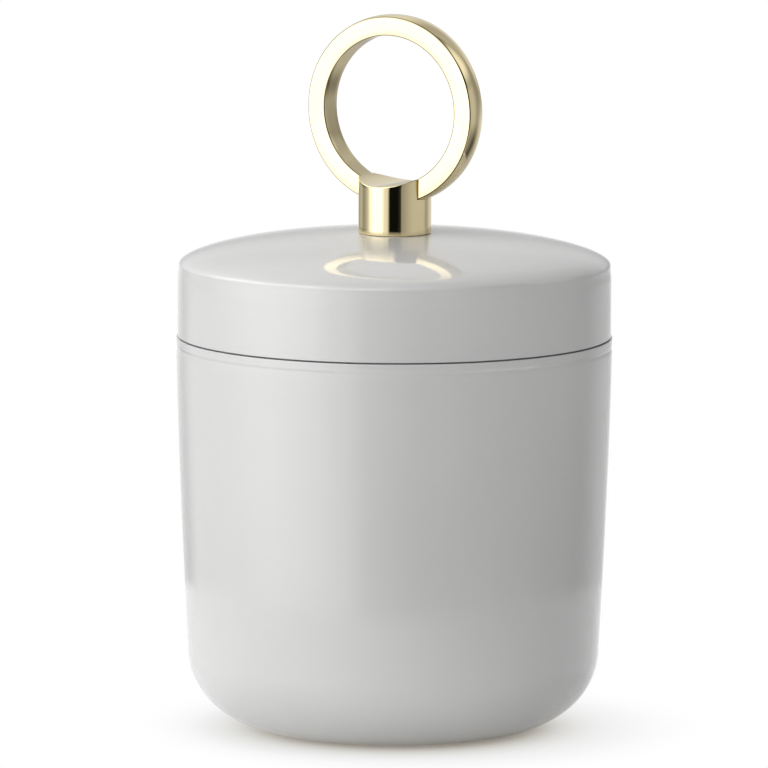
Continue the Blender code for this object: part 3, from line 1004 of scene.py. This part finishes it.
def studio_world():
    """White behind the object, and soft panels in everything that it reflects."""
    world = bpy.data.worlds.new("studio")
    world.use_nodes = True
    tree = world.node_tree
    tree.nodes.clear()
    add = node_adder(tree)
    direction = add("ShaderNodeTexCoord").outputs["Generated"]
    turn = {"Vector": direction, "Angle": -CAMERA_AZIMUTH}
    turned = add("ShaderNodeVectorRotate", turn, rotation_type="Z_AXIS").outputs[0]
    parts = add("ShaderNodeSeparateXYZ", {0: turned}).outputs
    azimuth = maths(add, "ARCTAN2", parts["X"], maths(add, "MULTIPLY", parts["Y"], -1.0))
    elevation = maths(add, "ARCSINE", parts["Z"])
    total = STUDIO_BASE
    for side, half_width, left, right, rise, half_height, fade, strength in PANELS.values():
        off = maths(add, "SUBTRACT", azimuth, math.radians(side))
        off = maths(add, "WRAP", off, math.pi, -math.pi)
        rise_off = maths(add, "SUBTRACT", elevation, math.radians(rise))
        across = panel_window(add, off, half_width, left, right)
        upright = panel_window(add, rise_off, half_height, fade, fade)
        panel = maths(add, "MULTIPLY", maths(add, "MULTIPLY", across, upright), strength)
        total = maths(add, "ADD", total, panel)
    seen = add("ShaderNodeBackground", {"Color": WHITE, "Strength": 1.0}).outputs[0]
    light = add("ShaderNodeBackground", {"Color": WHITE, "Strength": total}).outputs[0]
    direct = add("ShaderNodeLightPath").outputs["Is Camera Ray"]
    mix = add("ShaderNodeMixShader", {0: direct, 1: light, 2: seen})
    add("ShaderNodeOutputWorld", {"Surface": mix.outputs[0]})
    bpy.context.scene.world = world


# The floor round the foot: how open it is to the sky, and the tone that the camera then sees. The
# floor glows with that tone, which is painted shadow, darker where the floor is less open.
FLOOR_RADIUS = 182.0 * MM
FLOOR_SET_BACK = 20.0 * MM
FLOOR_SOFT_RIM = 22.0 * MM
SHADE_REACH = 50.0 * MM
SHADE_LEAN = 0.15
SHADE_SAMPLES = 16
FLOOR_BOUNCE = 0.88
# A painted shadow beside the foot, off to the right: where it lies, how far it reaches, and how much
# it dims the tone
BESIDE_OFF = 42.0 * MM
BESIDE_REACH = (18.0 * MM, 52.0 * MM)
PAINTED_BESIDE_SHADE = 0.78
# Painted shadow: the floor's glowing tone, from darkest at the foot to white where it is open
PAINTED_SHADOW_TONES = [
    (0.00, (0.21, 0.195, 0.165)),
    (0.03, (0.29, 0.27, 0.235)),
    (0.07, (0.47, 0.445, 0.395)),
    (0.12, (0.58, 0.56, 0.52)),
    (0.17, (0.65, 0.635, 0.60)),
    (0.28, (0.745, 0.74, 0.72)),
    (0.41, (0.82, 0.82, 0.81)),
    (0.55, (0.88, 0.88, 0.88)),
    (0.66, (0.945, 0.945, 0.945)),
    (0.73, (1.0, 1.0, 1.0)),
]


def painted_floor_shadow(add):
    """The floor's painted shadow: its colour by how open it is to the sky, with the shade leaning to
    the right.
    """
    lean = Vector((0.0, 0.0, 1.0)) - RIGHTWARD * SHADE_LEAN
    normal = add("ShaderNodeCombineXYZ", dict(enumerate(lean))).outputs[0]
    towards = {"Distance": SHADE_REACH, "Normal": normal}
    openness = add("ShaderNodeAmbientOcclusion", towards, samples=SHADE_SAMPLES).outputs["AO"]
    ramp = add("ShaderNodeValToRGB", {"Fac": openness})
    marks = ramp.color_ramp.elements
    while len(marks) < len(PAINTED_SHADOW_TONES):
        marks.new(1.0)
    for mark, (share, tone) in zip(marks, PAINTED_SHADOW_TONES):
        mark.position = share
        mark.color = (*tone, 1.0)
    return ramp.outputs["Color"]


def floor_material(centre):
    """Shows its tone to the camera and in mirrors as a glow, and is matt to the rest of the light.
    The tone is painted shadow, in the glow and in the matt colour.
    """
    material = bpy.data.materials.new("floor_white_painted_shadow")
    material.use_nodes = True
    tree = material.node_tree
    tree.nodes.clear()
    add = node_adder(tree)
    tone = painted_floor_shadow(add)
    place = add("ShaderNodeTexCoord").outputs["Object"]
    # Painted shadow off to the right of the foot, dimming the tone in mirrors and in the matt colour.
    beside = {0: place, 1: RIGHTWARD * BESIDE_OFF - centre}
    off = add("ShaderNodeVectorMath", beside, operation="DISTANCE").outputs["Value"]
    shaded = scaled(add, tone, soft_step(add, off, *BESIDE_REACH, low=PAINTED_BESIDE_SHADE))
    dimmed = scaled(add, shaded, FLOOR_BOUNCE)
    # The camera and mirrors see the painted shadow tone as a glow; the matt light sees it in the
    # floor's colour.
    seen = add("ShaderNodeEmission", {"Color": tone}).outputs[0]
    mirrored = add("ShaderNodeEmission", {"Color": shaded}).outputs[0]
    matt = add("ShaderNodeBsdfDiffuse", {"Color": dimmed}).outputs[0]
    ray = add("ShaderNodeLightPath").outputs
    unseen = add("ShaderNodeMixShader", {0: ray["Is Glossy Ray"], 1: matt, 2: mirrored}).outputs[0]
    solid = add("ShaderNodeMixShader", {0: ray["Is Camera Ray"], 1: unseen, 2: seen}).outputs[0]
    past = soft_step(add, length_of(add, place), FLOOR_RADIUS - FLOOR_SOFT_RIM, FLOOR_RADIUS)
    clear = add("ShaderNodeBsdfTransparent").outputs[0]
    soft = add("ShaderNodeMixShader", {0: past, 1: solid, 2: clear})
    add("ShaderNodeOutputMaterial", {"Surface": soft.outputs[0]})
    return material


def make_floor():
    """A white disc, as bright as the background where it is open, and with painted shade at the foot.
    """
    profile = between((FLOOR_RADIUS, 0.0), (0.0, 0.0), 8)
    mesh = mesh_of("floor_disc", [turned_grid(profile, full_turn(FLOOR_STEPS))])
    floor = bpy.data.objects.new("floor_disc", mesh)
    floor.location = AWAY * FLOOR_SET_BACK
    bpy.context.scene.collection.objects.link(floor)
    mesh.materials.append(floor_material(floor.location))


add_pieces()
add_felts()
make_camera()
studio_world()
make_floor()
bpy.context.scene.view_settings.view_transform = "Standard"
